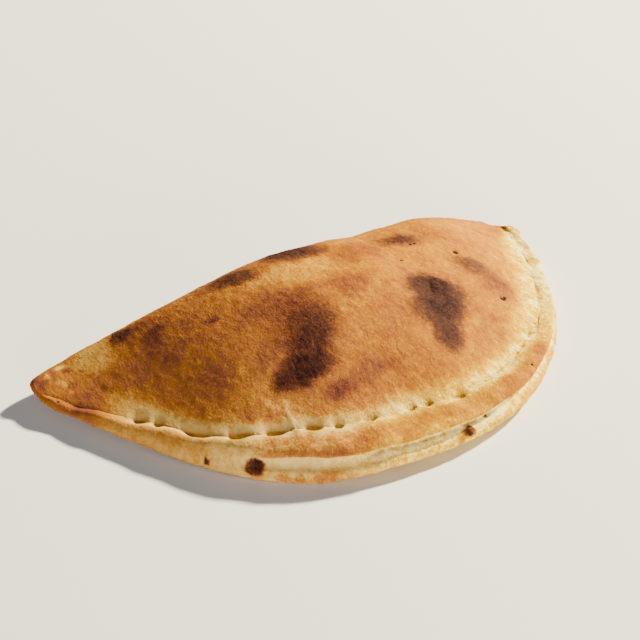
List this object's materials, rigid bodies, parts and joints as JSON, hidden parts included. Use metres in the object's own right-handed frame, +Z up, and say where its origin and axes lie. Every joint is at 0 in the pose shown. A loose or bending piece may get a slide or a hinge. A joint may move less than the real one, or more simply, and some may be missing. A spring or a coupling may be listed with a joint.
{
  "type": "calzone",
  "caption": "Baked folded pizza: a domed half-moon of browned dough, pinched to a tip at one end, with a pressed rolled rim round the curved side.",
  "frame": {"origin": "middle of the bounding box at the level of the flat underside", "axes": "+X along the folded edge from the pinched tip to the full end, +Y across from the pressed rim to the fold, +Z up"},
  "size_m": [0.2572, 0.145, 0.0411],
  "materials": {
    "crust": "baked wheat dough, golden brown with charred patches and a pale pressed seam, matt to faintly satin"
  },
  "bodies": {
    "root": {"calzone": "crust"}
  },
  "joints": []
}
